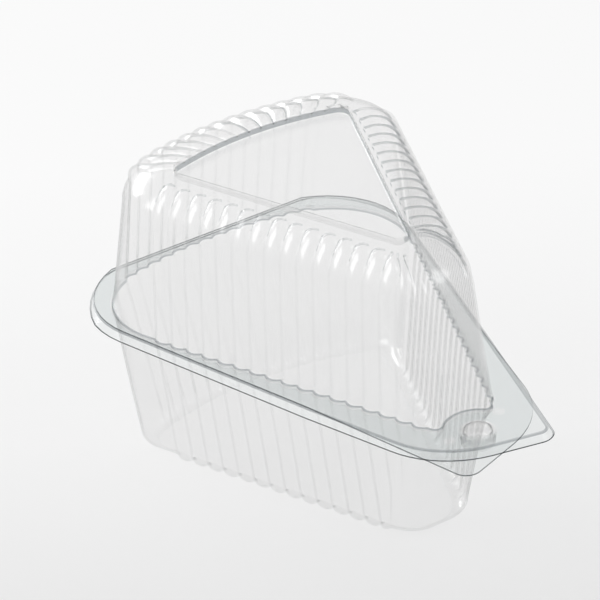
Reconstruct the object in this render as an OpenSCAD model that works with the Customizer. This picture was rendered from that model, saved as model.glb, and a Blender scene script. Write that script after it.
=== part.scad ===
// Hinged clear wedge pack for one slice of cake: a fluted tray and a fluted lid that
// are folded from one formed film along a straight living hinge behind the crust end.
// Millimetres. The pointed end faces -Y, the hinge is at +Y and +Z is up.
// The tray stands on its floor at Z = 0 and the lid is drawn closed.

/* [Wedge plan] */
// Full angle between the two straight side walls, degrees
wedge_angle = 42; // [38:1:46]
// Distance from the snap button forward to the point where the wall foot lines would cross
apex_lead = 22.7; // [20:0.1:25]
// Distance from the snap button back to the wall foot in the middle of the crust end
back_reach = 165.5; // [150:0.5:180]
// Plan radius of the wall foot along the crust end
back_radius = 138; // [125:1:160]
// Plan radius of the smooth back corners at the wall foot
corner_radius = 31; // [26:1:34]
// Radius of the hollow in the pointed end that makes room for the button
relief_radius = 11.9; // [10.5:0.1:13]
// Plan radius of the two small edges beside that hollow at the wall foot
relief_edge = 2.4; // [1.5:0.1:3]

/* [Flutes] */
// Number of flutes on each straight side wall
side_flutes = 17; // [13:1:18]
// Number of flutes across the crust end, an even number
back_flutes = 14; // [10:2:16]
// Half length of the fluted part of the crust wall
back_flute_half = 40.8; // [36:0.2:43]
// Depth of a flute from its crest to the valley line
flute_depth = 1.35; // [0.8:0.05:1.6]
// Smooth length of a side wall behind its last flute, up to the reach of the crust end
side_smooth = 37.1; // [34:0.1:44]
// Distance along a side wall from the button's level to the first flute
flute_first = 14.2; // [13:0.1:16]
// Length of smooth wall beside the hollow in front of the first flute
flute_start = 5.5; // [4:0.5:6]

/* [Film] */
// Thickness of the formed film
film = 0.5; // [0.4:0.05:0.7]

/* [Tray] */
// Height of the rim plane over the floor that the tray stands on
tray_depth = 51.8; // [45:0.1:58]
// Draft of the tray's side walls, degrees
tray_side_draft = 6.3; // [4:0.1:8]
// Draft of the tray's crust wall, degrees
tray_back_draft = 18.5; // [12:0.5:20]
// Draft of the tray's button hollow, degrees
tray_tip_draft = 14.5; // [12:0.5:17]
// Radius between wall and floor of the tray
heel_radius = 4.8; // [3:0.1:6]
// Plan radius of the back corners at the floor
floor_corner = 9; // [6:0.5:14]
// Plan radius of the two front corners at the floor
floor_tip = 11.5; // [9:0.5:11.5]
// Plan radius of the nearly straight front between them
floor_front = 150; // [100:10:300]

/* [Lid] */
// Height of the lid over the rim plane
lid_height = 56.9; // [50:0.1:62]
// Draft of the lid's side walls, degrees
lid_side_draft = 4.5; // [3:0.1:7]
// Draft of the lid's crust wall, degrees
lid_back_draft = 11; // [6:0.5:14]
// Height of the rounded shoulder
shoulder = 13.9; // [10:0.1:17]
// Distance from the side wall foot line in to the edge of the top panel
panel_side = 19.5; // [17:0.1:21]
// Distance from the crust wall foot in to the edge of the top panel
panel_back = 32.5; // [28:0.5:36]
// Distance from the button back to the tip of the top panel
panel_tip = 38; // [36:0.5:42]
// Width of the nearly level band between shoulder and panel
panel_band = 3; // [2:0.1:5]
// Depth to which the top panel is sunk
panel_sink = 2.2; // [1:0.1:3]
// Plan radius of the panel's back corners
panel_corner = 4; // [2:0.5:8]

/* [Rims] */
// Distance from the wall foot in the middle of the crust end back to the hinge line
hinge_gap = 2.7; // [2:0.1:6]
// Distance ahead of the hinge line at which the back corner of the rim would be if it were sharp
rim_corner_lead = 11.9; // [10:0.1:16]
// Distance of that corner beside the end of the hinge line
rim_corner_side = 26.8; // [25:0.1:30]
// Distance by which that corner lies inside the side wall foot line
rim_corner_in = 1.5; // [0:0.1:3]
// Length from the end of the hinge line to the start of the rounding of that corner
rim_corner_start = 0.5; // [0.2:0.1:6]
// Distance by which the edge of the lid rim lies outside the side wall foot line beside the middle
rim_mid_out = 9.7; // [8:0.1:12]
// Distance by which the fold of the tray rim lies inside the edge of the lid rim
rim_inset = 0.7; // [0.4:0.1:1.2]
// Distance of the lid's finger tab ahead of the button
lid_tab = 23.3; // [21:0.1:26]
// Distance of the tray's finger tab fold ahead of the button
tray_tab = 14.2; // [12:0.1:16]
// Distance of the lid's tab from the middle plane
lid_tab_side = 19.6; // [17:0.1:21]
// Distance of the tray's tab fold from the middle plane
tray_tab_side = 18.3; // [15:0.1:20]
// Distance by which the turned-down tray edge reaches out
skirt_out = 3; // [2:0.1:4]
// Distance from the hinge line over which that edge grows to its full size
skirt_fade = 24; // [15:1:40]
// Distance by which the turned-down tray edge drops
skirt_drop = 2.9; // [2:0.1:4]

/* [Button] */
// Radius of the lid's snap button at the rim plane
button_radius = 5.7; // [5.3:0.1:6.2]
// Radius of the lid's snap button at its foot
button_foot = 4.1; // [3.6:0.1:4.6]
// Depth of the lid's snap button under the rim plane
button_depth = 4.5; // [3:0.1:6]
// Clearance between the lid's button and the cup in the tray
button_gap = 0.35; // [0.3:0.05:0.5]
// Radius of the two small lugs on the lid rim beside the button
lug_radius = 2.2; // [1.6:0.1:2.6]
// Height of those lugs
lug_height = 0.8; // [0.5:0.1:1.2]

/* [Build] */
// Which node is built

/* [Hidden] */
half_angle = wedge_angle / 2;
slope = tan(half_angle);
back_centre = back_reach - back_radius;
hinge_reach = back_reach + hinge_gap;
rim_back_y = hinge_reach - rim_corner_lead;
rim_back_half = (rim_back_y + apex_lead) * slope - rim_corner_in;
hinge_half = rim_back_half - rim_corner_side;
rim_mid_y = 0.287 * back_reach;
rim_mid_half = (rim_mid_y + apex_lead) * slope + rim_mid_out;
button_y = (lid_tab - 1.66 - hinge_reach) / 2;
rim_z = tray_depth;
// The button and its cup end this far inside the film of the rim
seam = 0.12;
// Middle of the wedge, from which every outline is seen once round
middle_y = button_y + 0.574 * back_reach;
back_half_flutes = back_flutes / 2;
flute_pitch = (back_reach - side_smooth - flute_first) / side_flutes;
samples = 3;

// Half of the plan outline of a wall at one level, from the middle of the button hollow
// along the +X side to the middle of the crust end. A level v is [s, r, t, rc, rf, fo, fu, z, g]:
// s, r, t: distance by which side, crust end and hollow lie inside the wall foot
// rc, rf: plan radius of back corner and of the edge beside the hollow
// fo, fu: reach of the flute crests sideways and upwards; z: level; g: radius of the hollow
// The points are moved to the other face of the film by e in plan and by dz in height.
function half_ring(v, e, dz) =
  let (
    a = apex_lead - v[0] / sin(half_angle),
    g = v[8],
    gy = relief_radius + v[2] - g,
    rc = v[3],
    rf = v[4],
    z = v[7] + dz,
    q = slope * slope + 1,
    k = a * slope - rf / cos(half_angle),
    j = slope * k - gy,
    cy = (-j + sqrt(j * j - q * (k * k + gy * gy - (g + rf) * (g + rf)))) / q,
    cx = slope * cy + k,
    back = back_radius - v[1],
    k2 = a * slope - rc / cos(half_angle),
    b = slope * k2 - back_centre,
    dy = (-b + sqrt(b * b - q * (k2 * k2 + back_centre * back_centre - (back - rc) * (back - rc)))) / q,
    dx = slope * dy + k2,
    out = [cos(half_angle), -sin(half_angle)],
    along = [sin(half_angle), cos(half_angle)],
    s0 = [cx, cy] + rf * out,
    s1 = [dx, dy] + rc * out,
    ac = atan2(cy - gy, cx),
    a0 = atan2(gy - cy, -cx),
    ad = atan2(dy - back_centre, dx),
    tip_arc = (-half_angle - a0) * PI / 180 * rf,
    side = norm(s1 - s0),
    corner_arc = (ad + half_angle) * PI / 180 * rc,
    whole = side + corner_arc + (90 - ad) * PI / 180 * back,
    w0 = s0 * along,
    first = max(-0.85 * tip_arc, flute_first - w0),
    last = flute_first + side_flutes * flute_pitch - w0,
    zone = whole - min(back_flute_half, whole - last - 6),
    shape = [s0, side, corner_arc, cx, cy, rf, dx, dy, rc, back, ad, out, along]
  )
  concat(
    [for (i = [0 : 3]) let (w = 90 + (ac - 90) * i / 4) [(g + e) * cos(w), gy + (g + e) * sin(w), z]],
    [for (i = [0 : 3])
      let (w = a0 + (-half_angle + min(0, first) / rf * 180 / PI - a0) * i / (first > 0.5 ? 3 : 3.5))
      [cx + (rf - e) * cos(w), cy + (rf - e) * sin(w), z]],
    [for (i = [0 : samples * side_flutes])
      let (f = (i % samples) / samples,
           w = flute_first + i * flute_pitch / samples,
           l = w - w0 > flute_start ? w - w0
             : first + (w - flute_first) * (flute_start - first) / max(0.01, w0 + flute_start - flute_first),
           h = 4 * f * (1 - f) * max(0, min(1, (l + 1) / 5)))
      wall_point(shape, l, v[5] * h - e, z + v[6] * h)],
    [for (i = [1 : 6]) wall_point(shape, last + (zone - last) * i / 7, -e, z)],
    [for (i = [0 : samples * back_half_flutes])
      let (f = (i % samples) / samples, h = 4 * f * (1 - f),
           l = zone + (whole - zone) * i / (samples * back_half_flutes))
      wall_point(shape, l, v[5] * h - e, z + v[6] * h)]
  );

// Point at the distance l along a wall from the start of its straight side, moved outwards by o.
// Below zero it lies on the edge beside the hollow, past the side on the back corner and crust end.
function wall_point(w, l, o, z) =
  l < 0
    ? let (a = -half_angle + l / w[5] * 180 / PI) [w[3] + (w[5] + o) * cos(a), w[4] + (w[5] + o) * sin(a), z]
  : l < w[1]
    ? let (p = w[0] + w[12] * l + w[11] * o) [p[0], p[1], z]
  : l < w[1] + w[2]
    ? let (a = -half_angle + (l - w[1]) / w[8] * 180 / PI) [w[6] + (w[8] + o) * cos(a), w[7] + (w[8] + o) * sin(a), z]
    : let (a = min(90, w[10] + (l - w[1] - w[2]) / w[9] * 180 / PI))
      [(w[9] + o) * cos(a), back_centre + (w[9] + o) * sin(a), z];

// Whole outline, anticlockwise from above, moved so that the button lies at button_y
function ring(v, e = 0, dz = 0) =
  let (h = half_ring(v, e, dz), n = len(h))
  concat(
    [for (p = h) [p[0], p[1] + button_y, p[2]]],
    [for (i = [n - 2 : -1 : 1]) [-h[i][0], h[i][1] + button_y, h[i][2]]]
  );

// Angle at which a point is seen from the middle, anticlockwise from -Y
function turn_of(p) = (atan2(p[0], middle_y - p[1]) + 360) % 360;

// Point of the line from a to b that is seen from the middle at the angle w
function seen_at(a, b, w) =
  let (u = [sin(w), -cos(w)], d = [b[0] - a[0], b[1] - a[1]], f = [a[0], a[1] - middle_y],
       t = (f[0] * d[1] - f[1] * d[0]) / (u[0] * d[1] - u[1] * d[0]))
  [t * u[0], middle_y + t * u[1]];

// Outline of a rim from the front round, with a point opposite to each point of the wall foot
function rim_outline(edge) =
  let (m = len(edge),
       turns = [for (p = edge) turn_of(p)],
       s = [for (k = [0 : m - 1]) if (turns[k] < turns[(k + m - 1) % m]) k][0])
  concat(
    [seen_at(edge[(s + m - 1) % m], edge[s], 0)],
    [for (w = foot_turns) if (w > 0.2 && w < turns[s] - 0.2) seen_at(edge[(s + m - 1) % m], edge[s], w)],
    [for (i = [0 : m - 1])
      let (k = (s + i) % m, e = (k + 1) % m, stop = i == m - 1 ? 360 : turns[e])
      each concat([edge[k]], [for (w = foot_turns) if (w > turns[k] + 0.2 && w < stop - 0.2) seen_at(edge[k], edge[e], w)])]);

// Triangles between two rings of points that start at the numbers p and q
function joined(a, b, p, q, i = 0, j = 0) =
  i == len(a) && j == len(b) ? [] :
  let (n = len(a), m = len(b),
       ta = i + 1 < n ? turn_of(a[i + 1]) : i + 1 == n ? 360 : 999,
       tb = j + 1 < m ? turn_of(b[j + 1]) : j + 1 == m ? 360 : 999)
  ta <= tb
    ? concat([[p + i, q + j % m, p + (i + 1) % n]], joined(a, b, p, q, i + 1, j))
    : concat([[p + i % n, q + j, q + (j + 1) % m]], joined(a, b, p, q, i, j + 1));

// Closed film from the inside of the closed end over the rim to its outside: levels and the same
// levels moved to the other face, and between them the rings of the rim's edge.
// offsets holds the move in plan and in height for each level.
module formed_film(levels, offsets, edges) {
  rows = concat([for (i = [len(levels) - 1 : -1 : 0]) ring(levels[i], offsets[i][0], offsets[i][1])],
                edges, [for (v = levels) ring(v)]);
  m = len(rows);
  n = len(rows[0]);
  starts = [for (j = 0, t = 0; j <= m; t = t + (j < m ? len(rows[j]) : 0), j = j + 1) t];
  up = levels[len(levels) - 1][7] > levels[0][7];
  points = concat([for (row = rows) each row],
                  [[0, middle_y, rows[0][0][2]], [0, middle_y, rows[m - 1][0][2]]]);
  sides = [for (j = [0 : m - 2])
    let (c = len(rows[j]), p = starts[j], q = starts[j + 1])
    each c != len(rows[j + 1]) ? joined(rows[j], rows[j + 1], p, q)
      : [for (i = [0 : c - 1]) let (e = (i + 1) % c)
         each (((j < m / 2) == (i < c / 2)) ? [[p + i, q + i, q + e], [p + i, q + e, p + e]]
                                            : [[p + i, q + i, p + e], [p + e, q + i, q + e]])]];
  caps = [for (i = [0 : n - 1])
    let (k = (i + 1) % n)
    each [[starts[m], i, k], [starts[m] + 1, starts[m - 1] + k, starts[m - 1] + i]]];
  faces = concat(sides, caps);
  polyhedron(points, up ? faces : [for (f = faces) [f[0], f[2], f[1]]], convexity = 8);
}

// Levels of the tray, from the rim plane down to the floor
tray_wall = tray_depth - heel_radius;
function tray_level(depth, extra, crest, down) =
  let (part = depth / tray_wall)
  [depth * tan(tray_side_draft) + extra,
   depth * tan(tray_back_draft) + extra,
   depth * tan(tray_tip_draft) + extra,
   corner_radius + (floor_corner - corner_radius) * part - extra * 0.4,
   relief_edge + (floor_tip - relief_edge) * part,
   crest, 0, rim_z - depth - down, relief_radius + (floor_front - relief_radius) * part];
tray_outer = [
  tray_level(0, 0, flute_depth, film),
  tray_level(tray_wall, 0, flute_depth, 0),
  tray_level(tray_wall, heel_radius * (1 - cos(52)), flute_depth * 0.9, heel_radius * sin(52)),
  tray_level(tray_wall, heel_radius, 0, heel_radius)
];
tray_turns = [0, 0, 52, 90];
tray_offsets = [for (i = [0 : 3]) i == 0 ? [film, film] : [film * cos(tray_turns[i]), film * sin(tray_turns[i])]];

// Levels of the lid, from the rim plane up to the panel
lid_wall = lid_height - shoulder;
lid_turns = [0, 28, 56, 90];
function lid_level(turn) =
  let (k = 1 - cos(turn),
       s1 = lid_wall * tan(lid_side_draft), r1 = lid_wall * tan(lid_back_draft), t1 = 2)
  [s1 + (panel_side - panel_band - s1) * k,
   r1 + (panel_back - panel_band - r1) * k,
   t1 + (panel_tip - relief_radius - panel_band - t1) * k,
   corner_radius - (corner_radius - 17) * (0.3 + 0.7 * k),
   relief_edge - 0.6 * k,
   flute_depth * cos(turn), flute_depth * 0.8 * sin(turn),
   rim_z + lid_wall + shoulder * sin(turn), relief_radius + t1 + (panel_tip - relief_radius - t1) * k];
lid_outer = concat(
  [[0, 0, 0, corner_radius, relief_edge, flute_depth, 0, rim_z + film, relief_radius]],
  [for (turn = lid_turns) lid_level(turn)],
  [[panel_side, panel_back, panel_tip - relief_radius, panel_corner, 1.3, 0, flute_depth * 0.25,
    rim_z + lid_height, panel_tip],
   [panel_side + 0.6, panel_back + 0.6, panel_tip - relief_radius + 0.6, panel_corner, 1.3, 0, 0,
    rim_z + lid_height - panel_sink, panel_tip]]);
lid_offsets = [for (i = [0 : len(lid_outer) - 1])
  let (turn = i == 0 ? 0 : i <= 4 ? lid_turns[i - 1] : 90)
  [i <= 4 ? film * cos(turn) : -film, i == 0 ? -film : -film * sin(turn)]];

// Radius of the rounding of the corner p that starts at a length from the point before it
function radius_from(o, p, e, start) =
  (norm(o - p) - start) * tan(acos((o - p) * (e - p) / norm(o - p) / norm(e - p)) / 2);

// A polygon whose corners are rounded: each corner is [x, y, radius]
function rounded(v, steps = 5) =
  [for (i = [0 : len(v) - 1])
    let (
      p = [v[i][0], v[i][1]],
      o = v[(i + len(v) - 1) % len(v)],
      e = v[(i + 1) % len(v)],
      u = ([o[0], o[1]] - p) / norm([o[0], o[1]] - p),
      w = ([e[0], e[1]] - p) / norm([e[0], e[1]] - p),
      half = acos(u * w) / 2,
      mid = (u + w) / norm(u + w),
      r = v[i][2],
      c = p + mid * r / sin(half),
      t0 = p + u * r / tan(half) - c,
      t1 = p + w * r / tan(half) - c,
      a0 = atan2(t0[1], t0[0]),
      turn = atan2(t0[0] * t1[1] - t0[1] * t1[0], t0 * t1)
    )
    each (r <= 0 ? [p] : [for (k = [0 : steps]) c + r * [cos(a0 + turn * k / steps), sin(a0 + turn * k / steps)]])];

// Edge of a rim, from the -X end of the hinge line down to the tip and back up on the +X side
function rim_edge(inset, mirror_tab, tab, tab_side, tab_round, lobe_x, lobe_y, lobe_round) =
  let (m = mirror_tab ? -1 : 1,
       end = [hinge_half, button_y + hinge_reach],
       corner = [rim_back_half - inset, button_y + rim_back_y],
       mid = [rim_mid_half - inset, button_y + rim_mid_y],
       r = radius_from(end, corner, mid, rim_corner_start))
  rounded([
    [-end[0], end[1], 0],
    [-corner[0], corner[1], r],
    [-mid[0], mid[1], 150],
    m < 0 ? [-lobe_x, button_y - lobe_y, lobe_round] : [-tab_side, button_y - tab, tab_round],
    m < 0 ? [tab_side, button_y - tab, tab_round] : [lobe_x, button_y - lobe_y, lobe_round],
    [mid[0], mid[1], 150],
    [corner[0], corner[1], r],
    [end[0], end[1], 0]
  ]);
lid_edge = rim_edge(0, false, lid_tab, lid_tab_side, 5.2, 22.6, 8.1, 38);
tray_edge = rim_edge(rim_inset, true, tray_tab, tray_tab_side, 3, 19.5, 5.7, 31);

// Angles at which the points of the wall foot are seen
foot_turns = [for (p = ring([0, 0, 0, corner_radius, relief_edge, flute_depth, 0, 0, relief_radius])) turn_of(p)];
lid_outline = rim_outline(lid_edge);
tray_outline = rim_outline(tray_edge);

// Share of its full size that the turned-down edge has at a point of the tray rim
function edge_share(p) = max(0, min(1, (button_y + hinge_reach - p[1] - 0.5) / skirt_fade));

// Ring of the turned-down edge: the tray rim moved outwards and down, by the first pair at the hinge
// and by the second pair where the edge has its full size. The straight hinge line stays in its plane.
function turned_ring(least, most) =
  let (v = tray_outline, n = len(v), hinge_y = button_y + hinge_reach)
  [for (i = [0 : n - 1])
    let (a = v[(i + n - 1) % n], b = v[(i + 1) % n], d = (b - a) / norm(b - a),
         k = edge_share(v[i]), o = least[0] + (most[0] - least[0]) * k, h = least[1] + (most[1] - least[1]) * k,
         at_hinge = v[i][1] > hinge_y - 0.01)
    at_hinge ? [v[i][0] * (hinge_half + o) / hinge_half, v[i][1], rim_z - h]
             : [v[i][0] + d[1] * o, v[i][1] - d[0] * o, rim_z - h]];

function lifted(v, z) = [for (p = v) [p[0], p[1], z]];

// Tray with its rim and the turned-down edge
module tray_film() {
  difference() {
    formed_film(tray_outer, tray_offsets, [
      lifted(tray_outline, rim_z),
      turned_ring([0.15, 0.15], [skirt_out, skirt_drop]),
      turned_ring([0.15, film - 0.1], [skirt_out, skirt_drop + film]),
      lifted(tray_outline, rim_z - film)
    ]);
    translate([0, button_y, rim_z - 2 * film])
      cylinder(h = 3 * film, r = button_radius + button_gap + film / 2, $fn = 24);
  }
}

// Cup in the tray rim that takes the lid's button
module tray_cup() {
  grow = button_gap + film;
  height = button_depth + grow - seam;
  translate([0, button_y, rim_z - button_depth - grow])
    difference() {
      cylinder(h = height, r1 = button_foot + grow, r2 = button_radius + grow, $fn = 24);
      translate([0, 0, film])
        cylinder(h = height, r1 = button_foot + button_gap,
                 r2 = button_radius + button_gap + (button_radius - button_foot) * film / height, $fn = 24);
    }
}

// Lid with its rim
module lid_film() {
  difference() {
    formed_film(lid_outer, lid_offsets, [lifted(lid_outline, rim_z), lifted(lid_outline, rim_z + film)]);
    translate([0, button_y, rim_z - film])
      cylinder(h = 3 * film, r = button_radius - film / 2, $fn = 24);
  }
}

// Snap button: a cup pressed down through the lid rim
module lid_button() {
  height = button_depth + film - seam;
  translate([0, button_y, rim_z - button_depth])
    difference() {
      cylinder(h = height, r1 = button_foot, r2 = button_radius, $fn = 24);
      translate([0, 0, film])
        cylinder(h = height, r1 = button_foot - film, r2 = button_radius - film, $fn = 24);
    }
}

module lid_lugs() {
  for (p = [[-11.4, -0.2], [11.8, 4.6]])
    translate([p[0], button_y + p[1], rim_z + film / 2])
      cylinder(h = lug_height + film / 2, r1 = lug_radius, r2 = lug_radius * 0.6, $fn = 12);
}

module tray() {
  union() {
    color([0.86, 0.9, 0.92, 0.35]) tray_film();
    color([0.86, 0.9, 0.92, 0.35]) tray_cup();
  }
}

module lid() {
  union() {
    color([0.88, 0.92, 0.94, 0.35]) lid_film();
    color([0.88, 0.92, 0.94, 0.35]) lid_button();
    color([0.88, 0.92, 0.94, 0.35]) lid_lugs();
  }
}

tray();
lid();
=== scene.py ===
"""Clear hinged wedge pack for a slice of cake: formed film surfaces, materials, floor, lamps and camera."""
from collections import namedtuple
import math

import bmesh
import bpy
from bpy.props import FloatProperty, FloatVectorProperty, IntProperty, PointerProperty
from mathutils import Matrix, Vector


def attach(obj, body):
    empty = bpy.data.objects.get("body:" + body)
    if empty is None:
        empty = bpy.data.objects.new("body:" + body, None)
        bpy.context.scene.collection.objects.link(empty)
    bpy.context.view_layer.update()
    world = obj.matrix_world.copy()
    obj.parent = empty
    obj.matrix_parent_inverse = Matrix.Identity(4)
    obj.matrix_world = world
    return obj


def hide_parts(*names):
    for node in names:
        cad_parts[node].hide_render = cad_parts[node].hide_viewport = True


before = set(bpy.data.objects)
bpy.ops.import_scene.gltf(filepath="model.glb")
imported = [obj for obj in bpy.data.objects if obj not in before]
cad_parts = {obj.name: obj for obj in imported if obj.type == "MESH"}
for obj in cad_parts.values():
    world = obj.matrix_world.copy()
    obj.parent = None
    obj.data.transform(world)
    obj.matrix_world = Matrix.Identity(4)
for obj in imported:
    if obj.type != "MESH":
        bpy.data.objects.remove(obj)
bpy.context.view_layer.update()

bl_info = {
    "name": "Clear Cake Slice Pack",
    "version": (1, 0, 0),
    "blender": (4, 5, 0),
    "location": "View3D > Sidebar > Slice Pack",
    "description": "Builds the formed film of a hinged wedge pack, with its studio floor, lamps and camera",
    "category": "Add Mesh",
}

# Sizes are in millimetres and plan places are measured from the snap button, unless a comment says otherwise
MM = 0.001
# What the rounding of the lid's finger tab takes off the length of the pack, whose middle is the origin
TAB_CUT = 1.66

# Steps across one flute, as shares of its width: they crowd at the valley, so that it keeps a small radius
FLUTE_STEPS = (0.0, 0.03, 0.07, 0.13, 0.2, 0.27, 0.34, 0.42, 0.5, 0.58, 0.66, 0.73, 0.8, 0.87, 0.93, 0.97)
# Steps of half an outline in the hollow, on the edge beside it and on the smooth wall of the back corner
HOLLOW_STEPS = 12
EDGE_STEPS = 10
CORNER_STEPS = 24
# Steps up a straight wall, and down the tray's rounded heel
WALL_STEPS = 6
HEEL_STEPS = 10
# Turns of the lid's shoulder in degrees: they crowd where the side flutes end
SHOULDER_TURNS = (8, 16, 24, 32, 40, 46, 50, 54, 57, 60, 62, 64, 66, 68,
                  69.5, 70.8, 71.8, 72.5, 73, 75, 78, 82, 86, 90)

# Radius of a sharp flute, as a share of its width
FLUTE_ARC = 0.6
# How far valleys lie below the smooth wall beside the flutes, as shares of their depth: crust and sides
CRUST_DIP = 0.45
SIDE_DIP = 0.2
# Shares of the rounded stretches beside the flutes: where the side flutes may start in the hollow's edge and
# end in the back corner, and where the crust flutes may start in that corner
FIRST_SHARE = 0.85
LAST_SHARE = 0.3
CRUST_SHARE = 0.5
# Smooth wall that stays between side and crust flutes
CORNER_GAP = 4
# Side flutes that are squeezed together where the wall is too short for all
SQUEEZED = 4
# Stretch over which the first flutes grow, and how far ahead of the straight wall it starts
GROWTH = 5
GROWTH_LEAD = 1
# Smooth wall ahead of the first flute that gets a point of its own
SMOOTH_START = 0.5
# Places across a flute where a valley's crease of painted shade begins, and on the far side also where it
# ends
VALLEY = 0.965
FAR_VALLEY = (0.94, 0.035)
# Where valleys get painted crease shade ahead of their flutes' ends, in half pitches, on the near side and on
# the far one
NEAR_CREASED = (0.6, 2.4)
FAR_CREASED = 0.15
# Painted crease shade round a flute's end: half its width and where across the flute it begins, as shares of
# the flute's width, and the distance in half pitches below which it runs right across
NOSE_CREASE = 0.045
NOSE_START = 0.35
NOSE_CLOSED = 0.08

# Lid: how far its hollow leans in over the wall, radius of its back corners at the top of the wall, how much
# of that the shoulder loses evenly, and their radius at the band round the panel
TIP_LEAN = 2.0
WALL_CORNER = 26.8
CORNER_LOSS = 9.8
BAND_CORNER = 13.0
# Radius of the edges beside the hollow: its loss on the shoulder, its size on the band and its loss there
EDGE_LOSS = 0.6
BAND_EDGE = 1.8
BAND_EDGE_LOSS = 0.5
# Turns of the shoulder in degrees over which side and crust flutes turn from low arcs into sharp ones
SIDE_SHARP = (0, 32)
CRUST_SHARP = (36, 50)
# How far the middle of a face lies below its ring near the flutes' ends, as a turn and as a length
FACE_TURN = math.radians(0.4)
FACE_GAP = 0.1
# Share of the crests' height that is lost on the way up the shoulder
CREST_LOSS = 0.32
# Rings of the band round the panel: how far inside the panel's edge, how far below the band, and share of the
# flutes' depth that still stands there. They crowd where the far flutes end
BAND_RINGS = tuple((inset, 0.0, 1 - CREST_LOSS) for inset in (-2.6, -2.3, -2.0, -1.8, -1.6)) + (
    (-0.8, 0.0, 0.6), (0.0, 0.0, 0.35), (0.06, 0.12, 0.1), (0.08, 0.3, 0.0))
# Rings at the foot of the panel's wall: how far inside the panel's edge and how far over the panel
PANEL_FOOT = ((0.16, 0.25), (0.3, 0.06), (0.6, 0.0))

# Sharpness that the tray's flutes gain with each step down the wall
SHARP_STEP = 0.15
# Tray heel: share of the crests that it loses, how much lower they hang than the valleys as a share of their
# depth, the largest share of the height over the floor for that, and how fast its corners tighten
HEEL_LOSS = 0.6
HEEL_HANG = 0.6
HEEL_LIMIT = 0.8
HEEL_TIGHTENING = 0.4

# Small radius between a rim and its wall, its turns in degrees, and how many of its strips are tight bends
# with painted grey shade
FOOT_RADIUS = 0.9
FOOT_TURNS = (0, 20, 40, 60, 80)
BENT_STRIPS = 3
# Rounding of both rims where they narrow near the tip
RIM_MID_ROUND = 150
# Turned-down edge: what the film's thickness adds to its reach and drop, its smallest share beside the hinge,
# and how far its fold and its lip end ahead of the hinge line
EDGE_FILM_OUT = 0.4
EDGE_FILM_DROP = 0.3
EDGE_LEAST = 0.04
HINGE_GAP = 0.5
LIP_GAP = 0.6
# Lugs of the lid rim: their places, and their profile as shares of radius and height
LUG_PLACES = ((-11.4, -0.2), (11.8, 4.6))
LUG_PROFILE = ((1.0, 0.0), (0.86, 0.3), (0.68, 0.72), (0.5, 0.94), (0.28, 1.0))
LUG_SIDES = 24
# Button and its cup: radius at their floors and its turns in degrees, and the step in at their mouths
BUTTON_ROUND = 0.6
CUP_ROUND = 0.8
CUP_TURNS = (75, 50, 25, 0)
CUP_MOUTH = (0.25, 0.2)
CUP_SIDES = 48

# Finishes of the film, in the order of a piece's material slots; each has painted grey shade
FILM, CUT, BEND, CREASE, RIM = range(5)
FINISH_NAMES = ("Clear formed PET film", "Cut edge of PET film with painted shade", "Tight bend of PET film with painted shade",
                "Crease of PET film with painted shade", "Unthinned PET film of the rim with painted shade")
# Share of light that the film mirrors: straight on, as PET's refractive index of 1.57 gives, and more edge on
MIRROR_STRAIGHT = 0.05
MIRROR_EDGE_ON = 0.6
MIRROR_POWER = 4.5
# How fast the film's colour turns into its painted edge shade towards edge on
TINT_POWER = 12.0
# Faint waves that forming leaves in the film: length, height, and how strongly they bend highlights. Their
# noise runs over a piece's own box, which is as wide as the pack
WAVE_LENGTH = 1.4
WAVE_HEIGHT = 0.4
WAVE_STRENGTH = 0.06
PACK_WIDTH = 126.0

# Soft lamps: name, place and size in metres, and power in watts
LAMPS = (("Left softbox", (-1.0, 0.36, 0.8), (0.9, 1.0), 7.0),
         ("Front softbox", (0.6, -0.65, 1.0), (0.6, 0.6), 2.5),
         ("Back softbox", (-0.2, 1.4, 0.5), (0.9, 0.3), 4.5))
LAMP_TARGET = (0, 0, 0.05)
# Light of the room on the pack, and the room as it is seen
ROOM_FILL = 0.6
ROOM_SEEN = 0.9
# Width of the floor in metres, and the share in which it glows with its painted tones; the rest keeps the
# shadow
FLOOR_WIDTH = 12
FLOOR_GLOW = 0.8
# Painted shade in the floor's tones, greyer towards the viewer: where they start and end along the view, in
# metres, the share at which the middle one lies, and how far their direction is turned from the view's
FLOOR_START = -0.09
FLOOR_END = 0.22
FLOOR_MIDDLE = 0.36
FLOOR_TURN = math.radians(4)
# Camera: width of its sensor, and its near limit in metres
SENSOR_WIDTH = 36
CLIP_START = 0.05
# Layers of film that a ray may pass
FILM_LAYERS = 32

# How the flutes of a level look: how sharp those of the sides and of the crust are, the share of their height
# that goes on behind the side flutes' round ends, and half the fluted length of the crust wall
FluteLook = namedtuple("FluteLook", "side crust rib half")


def linear(value):
    """Turns one sRGB channel from 0 to 1 into linear light."""
    return value / 12.92 if value <= 0.04045 else ((value + 0.055) / 1.055) ** 2.4


def colour(code):
    """Turns a hex code of six digits into a linear RGBA colour."""
    return tuple(linear(int(code[i:i + 2], 16) / 255) for i in (0, 2, 4)) + (1.0,)


def size(name, description, default, **limits):
    """Property that holds a size in millimetres, which is the unit that Blender calls camera."""
    return FloatProperty(name=name, description=description, default=default, unit="CAMERA", **limits)


def angle(name, description, default):
    """Property that holds an angle, with its default in degrees."""
    return FloatProperty(name=name, description=description, default=math.radians(default), subtype="ANGLE")


def share(name, description, default):
    """Property that holds a share from 0 to 1."""
    return FloatProperty(name=name, description=description, default=default, subtype="FACTOR", min=0, max=1)


def tint(name, description, code):
    """Property that holds a colour, with its default as a hex code."""
    return FloatVectorProperty(name=name, description=description, default=colour(code), subtype="COLOR",
                               size=4, min=0, max=1)


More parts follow.
